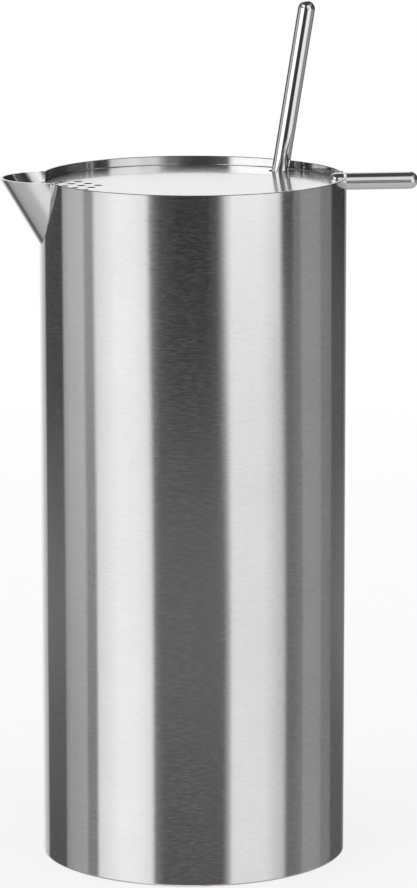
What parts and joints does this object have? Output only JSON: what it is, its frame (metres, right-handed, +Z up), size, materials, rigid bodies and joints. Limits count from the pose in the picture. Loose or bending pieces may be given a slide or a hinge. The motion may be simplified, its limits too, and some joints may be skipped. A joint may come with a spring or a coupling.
{
  "type": "cocktail pitcher",
  "caption": "Tall round steel cocktail pitcher with a tilted spout, a sunk strainer lid with a lifting pin, and a mixing spoon that leans in the lid.",
  "frame": {"origin": "centre of the tube's standing edge, on the surface that the pitcher stands on", "axes": "+Z up along the tube's axis, +X towards the lifting pin, -X towards the spout"},
  "size_m": [0.144, 0.105, 0.2928],
  "materials": {
    "brushed_body": "fine brushing round the girth",
    "brushed_base": "turned satin",
    "satin_spout": "smooth satin",
    "mirror_lid": "near mirror, very fine satin",
    "polished_rod": "polished",
    "polished_bowl": "polished"
  },
  "bodies": {
    "pitcher": {"body_tube": "brushed_body", "base_plate": "brushed_base", "spout": "satin_spout", "lid_rest_studs": "brushed_base"},
    "lid": {"strainer_lid": "mirror_lid", "lifting_pin": "polished_rod"},
    "spoon": {"spoon_rod": "polished_rod", "spoon_bowl": "polished_bowl"}
  },
  "joints": [
    {"name": "lid_lift", "type": "slide", "parent": "pitcher", "child": "lid", "axis": [0, 0, 1], "range_m": [0, 0.26]},
    {"name": "spoon_slide", "type": "slide", "parent": "lid", "child": "spoon", "axis": [0.1553, -0.0191, 0.9877], "range_m": [0, 0.14]}
  ]
}
